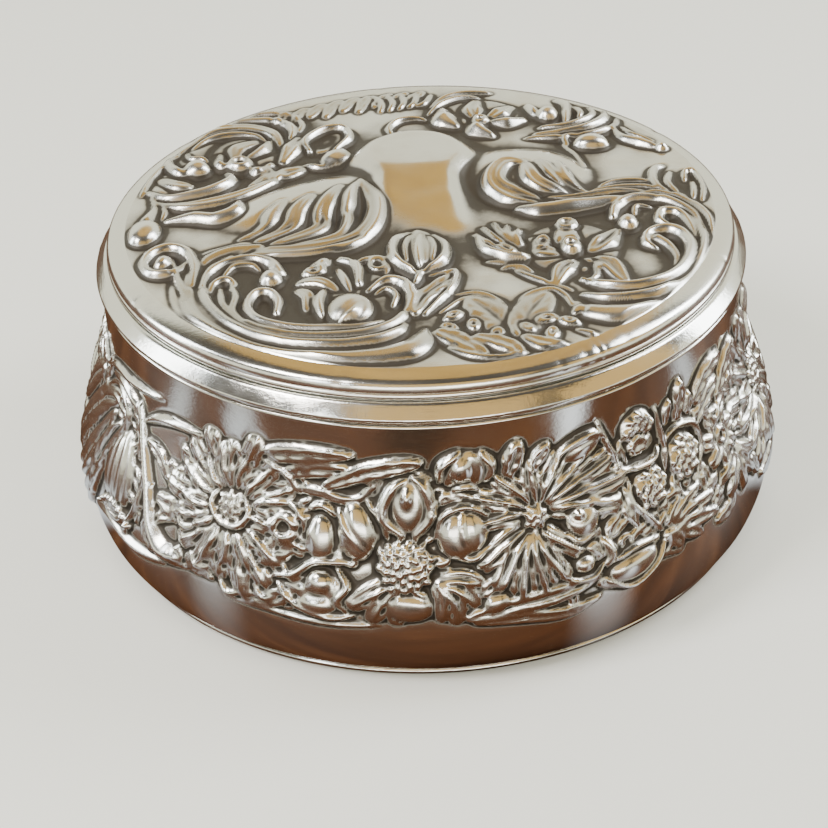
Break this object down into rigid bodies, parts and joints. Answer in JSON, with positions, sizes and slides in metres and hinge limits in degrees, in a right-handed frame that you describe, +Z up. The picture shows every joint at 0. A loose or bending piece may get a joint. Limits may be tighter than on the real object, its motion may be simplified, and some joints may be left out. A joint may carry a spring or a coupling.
{
  "type": "vanity trinket box",
  "caption": "Round silver-plated dressing-table box with a bombe body, soldered mouth moulding, padded cloth lining and a lift-off domed lid.",
  "frame": {"origin": "middle of the surface that the box stands on, under its axis", "axes": "+Z up along the axis of the box, towards the lid; -Y is the front as seen in the picture"},
  "size_m": [0.1376, 0.1376, 0.0645],
  "materials": {
    "body_silver": "repousse silver plate, oxidised in the recesses",
    "lid_silver": "repousse silver plate, polished high points",
    "rim_silver": "polished silver plate, worn",
    "base_silver": "plain silver plate, dull and scratched",
    "pasteboard": "plain",
    "lining_cloth": "gathered satin",
    "cushion_cloth": "padded satin"
  },
  "bodies": {
    "box": {"body_wall": "body_silver", "mouth_rim": "rim_silver", "foot_wire": "rim_silver", "base_plate": "base_silver", "wall_card": "pasteboard", "wall_lining": "lining_cloth", "floor_card": "pasteboard", "floor_pad": "cushion_cloth"},
    "lid": {"lid_crown": "lid_silver", "lid_lip_wire": "rim_silver", "lid_flange": "rim_silver", "lid_card": "pasteboard", "lid_pad": "cushion_cloth"}
  },
  "joints": [
    {"name": "lid_lift", "type": "slide", "parent": "box", "child": "lid", "axis": [0, 0, 1], "range_m": [0, 0.075]}
  ]
}
